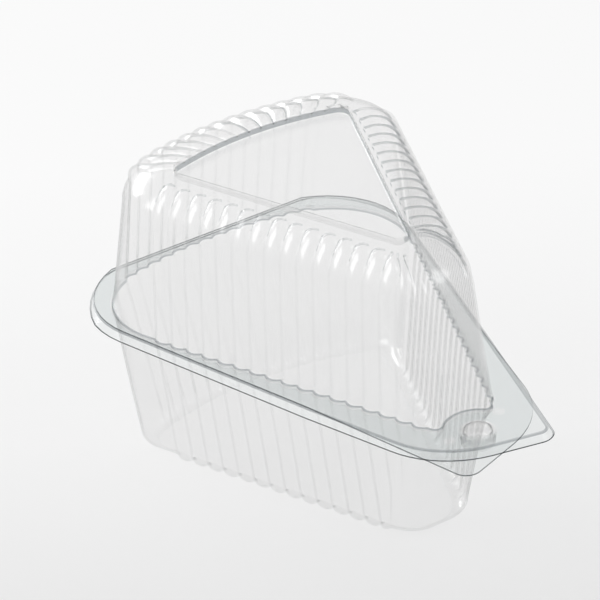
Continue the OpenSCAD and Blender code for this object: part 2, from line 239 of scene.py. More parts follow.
class WedgeSizes(bpy.types.PropertyGroup):
    """Plan of the walls, as the CAD model has it."""
    wedge_angle: angle("Wedge angle", "Angle between the side walls", 42)
    apex_lead: size("Apex lead", "From the button forward to the apex", 22.7)
    back_reach: size("Back reach", "From the button back to the crust wall", 165.5)
    back_radius: size("Back radius", "Plan radius of the crust wall", 138)
    corner_radius: size("Corner radius", "Plan radius of the back corners", 31)
    relief_radius: size("Hollow radius", "Radius of the hollow for the button", 11.9)
    relief_edge: size("Hollow edge", "Radius of the edges beside the hollow", 2.4)
    hinge_reach: size("Hinge reach", "From the button back to the hinge", 168.2)
    hinge_half: size("Hinge half length", "Half of the straight hinge line", 40.41)
    rim_z: size("Rim height", "Height of the plane where the rims meet", 51.8)
    film: size("Film", "Thickness of the formed film", 0.5, min=0.2, max=0.8)


class FluteSizes(bpy.types.PropertyGroup):
    """Flutes of both walls."""
    side_flutes: IntProperty(name="Side flutes", description="Flutes on each side wall", default=17)
    back_flutes: IntProperty(name="Back flutes", description="Flutes across the crust wall", default=14)
    back_half: size("Fluted half length", "Half of the fluted crust wall", 40.8)
    depth: size("Flute depth", "Crest to valley", 1.35, min=0.4, max=1.8)
    pitch: size("Flute pitch", "Between two flutes of a side wall", 6.718)
    first: size("First flute", "From the button's level to the first flute", 14.2)
    start: size("Smooth start", "Smooth wall beside the hollow", 5.5)


class TraySizes(bpy.types.PropertyGroup):
    """Walls, floor, rim and turned-down edge of the tray."""
    side_draft: angle("Side draft", "Draft of the side walls", 6.3)
    back_draft: angle("Crust draft", "Draft of the crust wall", 18.5)
    tip_draft: angle("Hollow draft", "Draft of the hollow", 14.5)
    heel_radius: size("Heel radius", "Radius between wall and floor", 4.8)
    floor_corner: size("Floor corner", "Plan radius of the floor's back corners", 9)
    floor_tip: size("Floor tip", "Plan radius of the floor's front corners", 11.5)
    floor_front: size("Floor front", "Plan radius between those corners", 150)
    tab: size("Tab", "Fold of the finger tab ahead of the button", 14.2)
    tab_side: size("Tab side", "Fold of the finger tab from the middle plane", 18.3)
    tab_round: size("Tab rounding", "Radius of the finger tab's corner", 3)
    lobe: size("Lobe", "Fold of the rim's other corner ahead of the button", 5.7)
    lobe_side: size("Lobe side", "Fold of that corner from the middle plane", 19.5)
    lobe_round: size("Lobe rounding", "Radius of that corner", 31)
    rim_inset: size("Rim inset", "Fold inside the lid's edge", 0.7)
    skirt_out: size("Edge reach", "How far the turned-down edge reaches out", 3)
    skirt_drop: size("Edge drop", "How far the turned-down edge drops", 2.9)
    skirt_fade: size("Edge fade", "Where the edge grows from the hinge", 24)


class LidSizes(bpy.types.PropertyGroup):
    """Walls, shoulder, sunk panel, rim and button of the lid."""
    height: size("Height", "Height over the rim plane", 56.9)
    side_draft: angle("Side draft", "Draft of the side walls", 4.5)
    back_draft: angle("Crust draft", "Draft of the crust wall", 11)
    shoulder: size("Shoulder", "Height of the rounded shoulder", 13.9)
    finger_turn: angle("Flute end", "Turn of the shoulder where the -X side's flutes end", 73)
    back_half: size("Fluted half length", "Half of the fluted crust at the top of the shoulder", 46.5)
    finger_gap: size("Flute gap", "From the ends of the +X side's flutes to the panel", 1.5)
    rib_share: share("Rib share", "Height of the low ribs behind the flutes' ends", 0.12)
    square: FloatProperty(name="Squareness", description="Power of the +X shoulder's profile",
                          default=2.8, min=2)
    panel_side: size("Panel side", "Side wall foot to the panel's edge", 19.5)
    panel_back: size("Panel back", "Crust wall foot to the panel's edge", 32.5)
    panel_tip: size("Panel tip", "From the button back to the panel's tip", 38)
    panel_band: size("Panel band", "Level band round the panel", 3)
    panel_sink: size("Panel depth", "How deep the panel is sunk", 2.2)
    panel_corner: size("Panel corner", "Radius of the panel's corners", 4)
    tab: size("Tab", "Finger tab ahead of the button", 23.3)
    tab_side: size("Tab side", "Finger tab from the middle plane", 19.6)
    tab_round: size("Tab rounding", "Radius of the finger tab's corner", 5.2)
    lobe: size("Lobe", "The rim's other corner ahead of the button", 8.1)
    lobe_side: size("Lobe side", "That corner from the middle plane", 22.6)
    lobe_round: size("Lobe rounding", "Radius of that corner", 38)
    rim_back_half: size("Rim back half", "Half width at the rim's back corner", 67.21)
    rim_back_y: size("Rim corner reach", "From the button to that corner", 156.3)
    rim_start: size("Rim corner start", "Hinge end to the corner's rounding", 0.5)
    rim_mid_half: size("Rim mid half", "Half width near the tip", 36.65)
    rim_mid_y: size("Rim mid reach", "From the button to that width", 47.5)
    button_radius: size("Button radius", "Button at the rim", 5.7)
    button_foot: size("Button foot", "Radius of the button's foot", 4.1)
    button_depth: size("Button depth", "Depth of the button", 4.5)
    button_gap: size("Button gap", "Clearance of the cup", 0.35)
    lug_radius: size("Lug radius", "Two lugs beside the button", 2.2)
    lug_height: size("Lug height", "Height of the lugs", 0.8)


class FilmLooks(bpy.types.PropertyGroup):
    """Tones of the clear film, with its painted shade, and of the floor, with its painted shade."""
    # The film's grey tints, seen edge on and in cut edges, bends, creases and rim, are painted shade
    film_tint: tint("Film tint", "Clear film seen square on", "fcfcfc")
    painted_edge_shade: tint("Painted edge shade", "Film seen edge on", "6c7072")
    cut_painted_shade: tint("Cut painted shade", "Cut edge of the film seen square on", "8c9091")
    cut_painted_edge_shade: tint("Cut edge painted shade", "Cut edge of the film seen edge on", "5a5c5d")
    bend_painted_shade: tint("Bend painted shade", "Film in its tight bends", "dcdedf")
    crease_painted_shade: tint("Crease painted shade", "Creases between flutes", "dadcdd")
    rim_painted_shade: tint("Rim painted shade", "Less stretched film of the rim", "f9fafa")
    roughness: share("Roughness", "Roughness of the formed film", 0.2)
    cut_roughness: share("Cut roughness", "Roughness of the cut edge", 0.25)
    # Painted shade: the floor's tones grey it towards the viewer
    floor_near: tint("Near floor", "Floor in front of the pack", "e8e8e8")
    floor_middle: tint("Middle floor", "Floor below the pack", "f6f6f6")
    floor_far: tint("Far floor", "Floor behind the pack", "fefefe")
    floor_paper: tint("Floor paper", "Floor where lamps light it", "ebebeb")


class StudioView(bpy.types.PropertyGroup):
    """Camera of the studio."""
    heading: angle("Heading", "Turn of the view from +Y towards +X", 31.03)
    tilt: angle("Tilt", "Downward tilt", 30.65)
    roll: angle("Roll", "Roll of the camera", -4.3)
    distance: size("Distance", "From the camera to the snap button", 1404.8)
    across: size("Across", "Button to the right of the view's middle", 58.75)
    upward: size("Upward", "Button above the view's middle", -42.95)
    lens: size("Lens", "Focal length", 254.9)


def half_angle():
    """Angle of a side wall to the middle plane."""
    return bpy.context.scene.pack_wedge.wedge_angle / 2


def button_y():
    """Place of the snap button in the frame of the model."""
    scene = bpy.context.scene
    return (scene.pack_lid.tab - TAB_CUT - scene.pack_wedge.hinge_reach) / 2


def direction(turn):
    """Unit vector in plan at an angle from +X."""
    return Vector((math.cos(turn), math.sin(turn)))


def centre_on_line(slope, start, middle_y, distance):
    """Point of the line x = slope * y + start that lies a distance behind a point of the middle plane."""
    q = slope * slope + 1
    b = slope * start - middle_y
    y = (-b + math.sqrt(b * b - q * (start * start + middle_y ** 2 - distance ** 2))) / q
    return Vector((slope * y + start, y))


class WallPlan:
    """Plan outline of a wall at one level, from the hollow along the +X side to the crust wall.

    side, back, tip: how far the walls lie inside their foot; corner, edge, hollow: plan radii.
    """

    def __init__(self, side, back, tip, corner, edge, hollow):
        wedge, half = bpy.context.scene.pack_wedge, half_angle()
        slope = math.tan(half)
        lead = (wedge.apex_lead - side / math.sin(half)) * slope
        self.sizes = (side, back, tip, corner, edge, hollow)
        self.half = half
        self.hollow, self.edge, self.corner = hollow, edge, corner
        self.back = wedge.back_radius - back
        self.back_y = wedge.back_reach - wedge.back_radius
        self.hollow_y = wedge.relief_radius + tip - hollow
        self.edge_at = centre_on_line(slope, lead - edge / math.cos(half), self.hollow_y, hollow + edge)
        self.corner_at = centre_on_line(slope, lead - corner / math.cos(half), self.back_y,
                                        self.back - corner)
        self.out = direction(-half)
        self.along = Vector((math.sin(half), math.cos(half)))
        self.start = self.edge_at + edge * self.out
        self.side = (self.corner_at + corner * self.out - self.start).length
        self.hollow_turn = math.atan2(self.edge_at.y - self.hollow_y, self.edge_at.x)
        self.edge_turn = math.atan2(self.hollow_y - self.edge_at.y, -self.edge_at.x)
        self.corner_turn = math.atan2(self.corner_at.y - self.back_y, self.corner_at.x)
        self.tip_arc = (-half - self.edge_turn) * edge
        self.corner_arc = (self.corner_turn + half) * corner
        self.whole = self.side + self.corner_arc + (math.pi / 2 - self.corner_turn) * self.back
        self.offset = self.start.dot(self.along)

    def swelled(self, out):
        """The same plan with its side walls further out."""
        side, back, tip, corner, edge, hollow = self.sizes
        return WallPlan(side - out, back, tip, corner, edge, hollow)

    def at(self, length, outward):
        """Point of the wall at a length from the start of its straight side, moved outward."""
        if length < 0:
            return self.edge_at + (self.edge + outward) * direction(-self.half + length / self.edge)
        if length < self.side:
            return self.start + self.along * length + self.out * outward
        if length < self.side + self.corner_arc:
            turn = -self.half + (length - self.side) / self.corner
            return self.corner_at + (self.corner + outward) * direction(turn)
        turn = min(math.pi / 2, self.corner_turn + (length - self.side - self.corner_arc) / self.back)
        return Vector((0, self.back_y)) + (self.back + outward) * direction(turn)


def flute(place, sharp):
    """Height of a flute over its valleys at a place from 0 to 1 across it.

    sharp: 0 for a low arc, 1 for a round one with sharp valleys.
    """
    if not 0 < place < 1:
        return 0.0
    edge = math.sqrt(FLUTE_ARC ** 2 - 0.25)
    arc = (math.sqrt(FLUTE_ARC ** 2 - (place - 0.5) ** 2) - edge) / (FLUTE_ARC - edge)
    return 4 * place * (1 - place) * (1 - sharp) + arc * sharp


def nose_width(to_end):
    """Width of a side flute as a share of its full one, at a distance before its round end."""
    half = bpy.context.scene.pack_flutes.pitch / 2
    return math.sqrt(1 - (1 - min(to_end, half) / half) ** 2) if to_end > 0 else 0.0


def finger(place, look, to_end):
    """Height of a side flute at a distance before its round end, behind which a low rib goes on."""
    width = nose_width(to_end)
    full = width * flute((place - 0.5) / width + 0.5, look.side) if width > 0.01 else 0.0
    dip = SIDE_DIP * look.side * width
    return max(full, look.rib * flute(place, look.side)) * (1 + dip) - dip


def hollow_points(plan, first):
    """Points of the hollow for the button and of the edge beside it, up to the first flute."""
    points = []
    for i in range(HOLLOW_STEPS):
        turn = math.pi / 2 + (plan.hollow_turn - math.pi / 2) * i / HOLLOW_STEPS
        points.append(Vector((0, plan.hollow_y)) + plan.hollow * direction(turn))
    steps = EDGE_STEPS - 1 if first > SMOOTH_START else EDGE_STEPS
    stop = -plan.half + min(0.0, first) / plan.edge
    for i in range(steps):
        turn = plan.edge_turn + (stop - plan.edge_turn) * i / steps
        points.append(plan.edge_at + plan.edge * direction(turn))
    if steps < EDGE_STEPS:
        points.append(plan.at(first * 0.5, 0))
    return points


def side_steps(plan, look, first, last, end, to_end):
    """Length along the wall and height of each step of the side flutes.

    They spread where the smooth start grows, and crowd where the last one would run too far into the corner.
    """
    f = bpy.context.scene.pack_flutes
    count = len(FLUTE_STEPS) * f.side_flutes
    squeezed = end - SQUEEZED * f.pitch
    out = []
    for i in range(count + 1):
        place = FLUTE_STEPS[i % len(FLUTE_STEPS)]
        reach = f.first + (i // len(FLUTE_STEPS) + place) * f.pitch
        length = reach - plan.offset
        if length <= f.start:
            spread = (f.start - first) / max(0.01, plan.offset + f.start - f.first)
            length = first + (reach - f.first) * spread
        elif length > squeezed:
            length = squeezed + (length - squeezed) * (end - squeezed) / (last - squeezed)
        grown = min(1.0, max(0.0, (length + GROWTH_LEAD) / GROWTH))
        out.append((length, finger(place, look, to_end) * grown if 0 < i < count else 0.0))
    return out


def crust_steps(plan, look, start):
    """Length along the wall and height of each step of half the crust flutes."""
    half_flutes = bpy.context.scene.pack_flutes.back_flutes // 2
    out = []
    for i in range(len(FLUTE_STEPS) * half_flutes + 1):
        place = FLUTE_STEPS[i % len(FLUTE_STEPS)]
        dip = CRUST_DIP * look.crust if i else 0.0
        length = start + (plan.whole - start) * (i // len(FLUTE_STEPS) + place) / half_flutes
        out.append((length, flute(place, look.crust) * (1 + dip) - dip))
    return out


def half_ring(plan, crest, lift, z, look, to_end):
    """Points of half an outline, from the middle of the hollow round the +X side to the middle of the crust.

    crest and lift: how far a flute's crest stands out and up. to_end: how far off the side flutes' ends are.
    """
    f = bpy.context.scene.pack_flutes
    first = max(-FIRST_SHARE * plan.tip_arc, f.first - plan.offset)
    last = f.first + f.side_flutes * f.pitch - plan.offset
    end = min(last, plan.side + LAST_SHARE * plan.corner_arc)
    crust = plan.whole - min(look.half, plan.whole - end - CORNER_GAP,
                             plan.whole - plan.side - CRUST_SHARE * plan.corner_arc)
    smooth = [(end + (crust - end) * i / CORNER_STEPS, 0.0) for i in range(1, CORNER_STEPS)]
    flutes = side_steps(plan, look, first, last, end, to_end)
    points = [(p.x, p.y, z) for p in hollow_points(plan, first)]
    for length, height in flutes + smooth + crust_steps(plan, look, crust):
        p = plan.at(length, crest * height)
        points.append((p.x, p.y, z + lift * height))
    return points


def ring(plan, crest, lift, z, look=None, near_end=99, far_end=99, swell=0.0):
    """Whole outline, anticlockwise from above, in metres and in the frame of the model.

    near_end, far_end: distance to the ends of the flutes of the -X and +X side; 99 is well away from them.
    swell: how much further out the +X side wall stands than the other one.
    """
    look = look or FluteLook(0.0, 0.0, 1.0, bpy.context.scene.pack_flutes.back_half)
    far = half_ring(plan.swelled(swell), crest, lift, z, look, far_end)
    near = [(-x, y, z) for x, y, z in half_ring(plan, crest, lift, z, look, near_end)[-2:0:-1]]
    y0 = button_y()
    return [Vector((x, y + y0, z)) * MM for x, y, z in far + near]


def half_creases(look, to_end, far):
    """For each step of half an outline: whether it gets painted crease shade, in a valley or round a side
    flute's end.

    far: True for the +X side, whose valleys stay creased up to the panel.
    """
    f = bpy.context.scene.pack_flutes
    places = FLUTE_STEPS + (1.0,)
    middles = [(a + b) / 2 for a, b in zip(places, places[1:])]
    reach = to_end / (f.pitch / 2)
    width = nose_width(to_end)
    side = []
    for m in middles:
        if far:
            valley = reach > FAR_CREASED and look.crust > 0.1 and not FAR_VALLEY[1] < m < FAR_VALLEY[0]
        else:
            valley = NEAR_CREASED[0] < reach < NEAR_CREASED[1] and look.side > 0.6 and m > VALLEY
        inside = abs(m - 0.5) - width / 2
        nose = (0 < reach < 1 and m > NOSE_START and inside < NOSE_CREASE
                and (inside > -NOSE_CREASE or reach < NOSE_CLOSED))
        side.append(valley or nose)
    crust = [look.crust > 0.4 and m > VALLEY for m in middles]
    return ([False] * (HOLLOW_STEPS + EDGE_STEPS) + side * f.side_flutes
            + [False] * CORNER_STEPS + crust * (f.back_flutes // 2))


def creases(look, near_end, far_end):
    """Finish of each face of a strip round the lid: painted crease shade in the valleys and round the flutes'
    ends.
    """
    marks = half_creases(look, far_end, True) + half_creases(look, near_end, False)[::-1]
    return [CREASE if mark else FILM for mark in marks]


def rounded(corners, steps=10):
    """Outline with rounded corners: each corner is x, y and its radius."""
    out = []
    for i, (x, y, radius) in enumerate(corners):
        p = Vector((x, y))
        if radius <= 0:
            out.append(p)
            continue
        before = (Vector(corners[i - 1][:2]) - p).normalized()
        after = (Vector(corners[(i + 1) % len(corners)][:2]) - p).normalized()
        half = math.acos(before.dot(after)) / 2
        centre = p + (before + after).normalized() * radius / math.sin(half)
        first = p + before * radius / math.tan(half) - centre
        last = p + after * radius / math.tan(half) - centre
        turn = math.atan2(first.x * last.y - first.y * last.x, first.dot(last))
        for k in range(steps + 1):
            out.append(centre + radius * direction(math.atan2(first.y, first.x) + turn * k / steps))
    return out


def rim_edge(sizes, inset, mirrored):
    """Edge of a rim from the -X end of the hinge line round the tip to its +X end.

    The finger tab of the sizes stands on the -X side and the rounder lobe on the other, or mirrored.
    """
    scene = bpy.context.scene
    w, lid, y0 = scene.pack_wedge, scene.pack_lid, button_y()
    left = (-sizes.tab_side, y0 - sizes.tab, sizes.tab_round)
    right = (sizes.lobe_side, y0 - sizes.lobe, sizes.lobe_round)
    if mirrored:
        left, right = (-right[0],) + right[1:], (-left[0],) + left[1:]
    end = Vector((w.hinge_half, y0 + w.hinge_reach))
    back = Vector((lid.rim_back_half - inset, y0 + lid.rim_back_y))
    mid = Vector((lid.rim_mid_half - inset, y0 + lid.rim_mid_y))
    to_end, to_mid = end - back, mid - back
    radius = (to_end.length - lid.rim_start) * math.tan(to_end.angle(to_mid) / 2)
    return rounded([(-end.x, end.y, 0), (-back.x, back.y, radius), (-mid.x, mid.y, RIM_MID_ROUND), left,
                    right, (mid.x, mid.y, RIM_MID_ROUND), (back.x, back.y, radius), (end.x, end.y, 0)])


def circle(x, y, z, radius, sides):
    """Ring of points round a place in a rim, in metres and in the frame of the model."""
    y0 = button_y()
    return [Vector((x + radius * math.cos(a), y0 + y + radius * math.sin(a), z)) * MM
            for a in (2 * math.pi * i / sides for i in range(sides))]


def loop_edges(bm, loop):
    """Edges round a ring of vertices, added where they are missing."""
    out = []
    for a, b in zip(loop, loop[1:] + loop[:1]):
        out.append(bm.edges.get((a, b)) or bm.edges.new((a, b)))
    return out


def lofted(bm, rings, bends=0, marks=()):
    """Adds quads between rings of points and flat faces over the last ring, and returns the first ring.

    The first strips may be tight bends, which get painted grey shade, and marks holds the finish of each face
    of the last strips.
    """
    plain = len(rings) - 1 - len(marks)
    rows = [[bm.verts.new(p) for p in points] for points in rings]
    count = len(rows[0])
    for j, (a, b) in enumerate(zip(rows, rows[1:])):
        for i in range(count):
            k = (i + 1) % count
            face = bm.faces.new((a[i], a[k], b[k], b[i]))
            face.material_index = BEND if 0 < j < bends else marks[j - plain][i] if j >= plain else FILM
    bmesh.ops.triangle_fill(bm, edges=loop_edges(bm, rows[-1]), use_beauty=True, use_dissolve=False)
    return rows[0]


def flange(bm, loops):
    """Fills the flat rim between its outline and the rings of everything that is formed in it."""
    edges = [edge for loop in loops for edge in loop_edges(bm, loop)]
    made = bmesh.ops.triangle_fill(bm, edges=edges, use_beauty=True, use_dissolve=False)
    for item in made["geom"]:
        if isinstance(item, bmesh.types.BMFace):
            # The rim's finish is faintly grey with painted shade
            item.material_index = RIM


def foot_rings(z, way):
    """Rings of the small radius between a rim at z and its wall, which goes up (way 1) or down (way -1)."""
    w, f = bpy.context.scene.pack_wedge, bpy.context.scene.pack_flutes
    rings = []
    for a in (math.radians(turn) for turn in FOOT_TURNS):
        out = FOOT_RADIUS * (1 - math.sin(a))
        plan = WallPlan(-out, -out, -out, w.corner_radius + out, w.relief_edge + out, w.relief_radius - out)
        rings.append(ring(plan, f.depth, 0, z + way * FOOT_RADIUS * (1 - math.cos(a))))
    return rings


def cup(bm, radius, foot, depth, z, rounding):
    """Adds a round tapered cup below the level z and returns the ring of its mouth."""
    profile = [(radius, 0.0), (radius - CUP_MOUTH[0], -CUP_MOUTH[1])]
    for a in (math.radians(turn) for turn in CUP_TURNS):
        profile.append((foot + rounding * math.sin(a), -depth + rounding - rounding * math.cos(a)))
    return lofted(bm, [circle(0, 0, z + h, r, CUP_SIDES) for r, h in profile])


def lug(bm, x, y, z):
    """Adds a small round lug of the lid rim and returns the ring at its foot."""
    lid = bpy.context.scene.pack_lid
    height = lid.lug_height - bpy.context.scene.pack_wedge.film
    return lofted(bm, [circle(x, y, z + h * height, r * lid.lug_radius, LUG_SIDES) for r, h in LUG_PROFILE])


def film_object(name, bm, node, body, outside):
    """Makes the formed film of one node: the open sheet gets its finishes, its thickness and its cut edge.

    outside: 1 where the outer face of the flat parts looks up, -1 where it looks down.
    """
    bmesh.ops.remove_doubles(bm, verts=bm.verts, dist=1e-6)
    bmesh.ops.recalc_face_normals(bm, faces=bm.faces)
    if max(bm.faces, key=lambda face: face.calc_area()).normal.z * outside < 0:
        bmesh.ops.reverse_faces(bm, faces=bm.faces)
    mesh = bpy.data.meshes.new(name)
    bm.to_mesh(mesh)
    bm.free()
    # Level faces stay flat shaded, because smooth shading would streak the large ones
    for polygon in mesh.polygons:
        polygon.use_smooth = abs(polygon.normal.z) < 0.9999
    piece = bpy.data.objects.new(name, mesh)
    bpy.context.scene.collection.objects.link(piece)
    # A cut edge takes the slot after its face's, so the cut finish stands once more after the rim's
    materials = film_materials()
    for material in materials + (materials[CUT],):
        mesh.materials.append(material)
    solid = piece.modifiers.new("Film thickness", "SOLIDIFY")
    solid.thickness = bpy.context.scene.pack_wedge.film * MM
    solid.offset = -1
    solid.use_even_offset = False
    solid.use_rim = True
    solid.material_offset_rim = 1
    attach(piece, body)
    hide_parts(node)


def tray_rings():
    """Rings of the tray's drafted wall and of its rounded heel, from the rim down to the floor."""
    scene = bpy.context.scene
    w, f, t = scene.pack_wedge, scene.pack_flutes, scene.pack_tray
    wall = w.rim_z - t.heel_radius
    # Depth below the rim, how far in and down the heel has turned, crest and sharpness of the flutes
    levels = [(wall * i / WALL_STEPS, 0.0, 0.0, f.depth, SHARP_STEP * i) for i in range(1, WALL_STEPS + 1)]
    for i in range(1, HEEL_STEPS + 1):
        a = math.pi / 2 * i / HEEL_STEPS
        levels.append((wall, t.heel_radius * (1 - math.cos(a)), t.heel_radius * math.sin(a),
                       f.depth * (1 - HEEL_LOSS * (i / HEEL_STEPS) ** 8), SHARP_STEP * WALL_STEPS))
    rings = []
    for depth, inward, down, crest, sharp in levels:
        part = depth / wall
        corner = w.corner_radius + (t.floor_corner - w.corner_radius) * part
        plan = WallPlan(depth * math.tan(t.side_draft) + inward,
                        depth * math.tan(t.back_draft) + inward,
                        depth * math.tan(t.tip_draft) + inward,
                        corner - inward * HEEL_TIGHTENING,
                        w.relief_edge + (t.floor_tip - w.relief_edge) * part,
                        w.relief_radius + (t.floor_front - w.relief_radius) * part)
        z = w.rim_z - depth - down
        hang = min(HEEL_HANG * crest * down / t.heel_radius, HEEL_LIMIT * z)
        rings.append(ring(plan, crest, -hang, z, FluteLook(sharp, sharp, 1.0, f.back_half)))
    return rings


def turned_edge(bm, edge, z):
    """Adds the turned-down edge of the tray outside its fold, and returns the ring of the fold."""
    w, t = bpy.context.scene.pack_wedge, bpy.context.scene.pack_tray
    hinge_y = button_y() + w.hinge_reach
    count = len(edge)
    # Shares of reach and drop from the lip to the fold, and the finishes of the strips between them
    profile = ((1.0, 1.0), (0.91, 0.91), (0.28, 0.16), (0.12, 0.04), (0.0, 0.0))
    # The lip's strip gets the cut edge's painted dark shade, the middle one the rim's faint painted shade,
    # and the fold's strips the painted grey shade of a tight bend
    finishes = (CUT, RIM, BEND, BEND)
    rows = []
    for reach, drop in profile:
        last_y = hinge_y - (LIP_GAP if reach > 0 else HINGE_GAP)
        row = []
        for i, p in enumerate(edge):
            ahead = (edge[min(i + 1, count - 1)] - edge[max(i - 1, 0)]).normalized()
            outward = Vector((ahead.y, -ahead.x))
            if i in (0, count - 1):
                outward = Vector((math.copysign(1, p.x), 0))
            grown = max(EDGE_LEAST, min(1.0, (hinge_y - p.y - HINGE_GAP) / t.skirt_fade))
            q = p + outward * reach * (t.skirt_out - EDGE_FILM_OUT) * grown
            level = z - drop * (t.skirt_drop - EDGE_FILM_DROP) * grown
            row.append(bm.verts.new(Vector((q.x, min(q.y, last_y), level)) * MM))
        rows.append(row)
    for finish, a, b in zip(finishes, rows, rows[1:]):
        for i in range(count - 1):
            bm.faces.new((a[i], a[i + 1], b[i + 1], b[i])).material_index = finish
    return rows[-1]


class MESH_OT_pack_tray(bpy.types.Operator):
    """Builds the tray: fluted cup, rim, turned-down edge and the cup for the button"""
    bl_idname = "mesh.pack_tray"
    bl_label = "Build tray"
    bl_options = {"REGISTER", "UNDO"}

    def execute(self, context):
        scene = context.scene
        w, t, lid = scene.pack_wedge, scene.pack_tray, scene.pack_lid
        top = w.rim_z - w.film
        grow = lid.button_gap + w.film
        bm = bmesh.new()
        wall = lofted(bm, foot_rings(top, -1) + tray_rings(), BENT_STRIPS)
        fold = turned_edge(bm, rim_edge(t, t.rim_inset, True), top)
        mouth = cup(bm, lid.button_radius + grow, lid.button_foot + grow, lid.button_depth + grow - w.film,
                    top, CUP_ROUND)
        flange(bm, [wall, fold, mouth])
        film_object("Tray_film", bm, "tray", "tray", -1)
        return {"FINISHED"}


def hood_wall():
    """Height of the lid's wall under its shoulder, and how far its side and crust walls lean in over it."""
    lid = bpy.context.scene.pack_lid
    wall = lid.height - lid.shoulder
    return wall, wall * math.tan(lid.side_draft), wall * math.tan(lid.back_draft)


def hood_rings(foot):
    """Rings of the lid's drafted wall, from its foot to its shoulder."""
    w, f = bpy.context.scene.pack_wedge, bpy.context.scene.pack_flutes
    wall, side, back = hood_wall()
    rings = []
    for part in (i / WALL_STEPS for i in range(1, WALL_STEPS + 1)):
        plan = WallPlan(side * part, back * part, TIP_LEAN * part,
                        w.corner_radius + (WALL_CORNER - w.corner_radius) * part,
                        w.relief_edge, w.relief_radius + TIP_LEAN * part)
        rings.append(ring(plan, f.depth, 0, foot + (wall - w.film) * part))
    return rings


def grown_over(turn, limits):
    """Share from 0 to 1 that grows between two turns."""
    return max(0.0, min(1.0, (turn - limits[0]) / (limits[1] - limits[0])))


def shoulder_rings():
    """Rings of the lid's rounded shoulder, where the -X side's flutes end, and the finish of their faces."""
    scene = bpy.context.scene
    w, f, lid = scene.pack_wedge, scene.pack_flutes, scene.pack_lid
    wall, side, back = hood_wall()
    side_run = lid.panel_side - lid.panel_band - side
    rings, marks = [], []
    for turn in SHOULDER_TURNS:
        a = math.radians(turn)
        k = 1 - math.cos(a)
        inset = side + side_run * k
        plan = WallPlan(inset,
                        back + (lid.panel_back - lid.panel_band - back) * k,
                        TIP_LEAN + (lid.panel_tip - w.relief_radius - lid.panel_band - TIP_LEAN) * k,
                        WALL_CORNER - CORNER_LOSS * k - (WALL_CORNER - CORNER_LOSS - BAND_CORNER) * k ** 3,
                        w.relief_edge - EDGE_LOSS * k,
                        w.relief_radius + TIP_LEAN + (lid.panel_tip - w.relief_radius - TIP_LEAN) * k)
        # The far shoulder is squarer than a quarter round
        square = max(0.0, 1 - math.sin(a) ** lid.square) ** (1 / lid.square)
        swell = side_run * (square - math.cos(a))
        near_end = (lid.finger_turn - a) * lid.shoulder
        far_end = lid.panel_side - lid.finger_gap - inset + swell
        look = FluteLook(grown_over(turn, SIDE_SHARP), grown_over(turn, CRUST_SHARP), lid.rib_share,
                         f.back_half + (lid.back_half - f.back_half) * math.sin(a))
        rings.append(ring(plan, f.depth * math.cos(a), f.depth * (1 - CREST_LOSS * k) * math.sin(a),
                          w.rim_z + wall + lid.shoulder * math.sin(a), look, near_end, far_end, swell))
        # A face lies just below its ring, and so a little further from the flutes' ends
        marks.append(creases(look, near_end + FACE_TURN * lid.shoulder, far_end + FACE_GAP))
    return rings, marks


def panel_rings():
    """Rings of the band round the lid's sunk panel and of the panel's wall, and their faces' finish."""
    scene = bpy.context.scene
    w, f, lid = scene.pack_wedge, scene.pack_flutes, scene.pack_lid
    look = FluteLook(1.0, 1.0, lid.rib_share, lid.back_half)
    foot = tuple((inset, lid.panel_sink - over, 0.0) for inset, over in PANEL_FOOT)
    near_faces = HOLLOW_STEPS + EDGE_STEPS + len(FLUTE_STEPS) * f.side_flutes + CORNER_STEPS
    rings, marks = [], []
    for inset, drop, lift in BAND_RINGS + foot:
        part = 1 + min(0.0, inset / lid.panel_band)
        plan = WallPlan(lid.panel_side + inset, lid.panel_back + inset,
                        lid.panel_tip - w.relief_radius + inset,
                        BAND_CORNER + (lid.panel_corner - BAND_CORNER) * part,
                        BAND_EDGE - BAND_EDGE_LOSS * part, lid.panel_tip)
        far_end = -lid.finger_gap - inset
        rings.append(ring(plan, 0, f.depth * lift, w.rim_z + lid.height - drop, look, 0, far_end))
        if inset in (BAND_RINGS[-1][0], PANEL_FOOT[0][0]):
            # The panel's steep wall is a tight bend with painted grey shade, apart from that of the -X side
            marks.append([BEND] * (len(rings[-1]) - near_faces) + [FILM] * near_faces)
        else:
            marks.append(creases(look, 0, far_end))
    return rings, marks


class MESH_OT_pack_lid(bpy.types.Operator):
    """Builds the lid: tall fluted hood, sunk panel, rim, snap button and lugs"""
    bl_idname = "mesh.pack_lid"
    bl_label = "Build lid"
    bl_options = {"REGISTER", "UNDO"}

    def execute(self, context):
        w, lid = context.scene.pack_wedge, context.scene.pack_lid
        foot = w.rim_z + w.film
        shoulder, shoulder_marks = shoulder_rings()
        panel, panel_marks = panel_rings()
        bm = bmesh.new()
        wall = lofted(bm, foot_rings(foot, 1) + hood_rings(foot) + shoulder + panel, BENT_STRIPS,
                      shoulder_marks + panel_marks)
        outline = [bm.verts.new(Vector((p.x, p.y, foot)) * MM) for p in rim_edge(lid, 0, False)]
        mouth = cup(bm, lid.button_radius - w.film, lid.button_foot - w.film, lid.button_depth,
                    foot, BUTTON_ROUND)
        flange(bm, [wall, outline, mouth] + [lug(bm, x, y, foot) for x, y in LUG_PLACES])
        film_object("Lid_film", bm, "lid", "lid", 1)
        return {"FINISHED"}


def add_node(tree, kind, settings=None, links=None):
    """Adds a node, sets its inputs or attributes by name and links outputs to its inputs."""
    node = tree.nodes.new(kind)
    for key, value in (settings or {}).items():
        if isinstance(key, int) or key in node.inputs:
            node.inputs[key].default_value = value
        else:
            setattr(node, key, value)
    for key, socket in (links or {}).items():
        tree.links.new(socket, node.inputs[key])
    return node


def blank_material(name):
    """A new material with nothing but its output node."""
    material = bpy.data.materials.new(name)
    material.use_nodes = True
    tree = material.node_tree
    tree.nodes.clear()
    return material, tree, tree.nodes.new("ShaderNodeOutputMaterial")


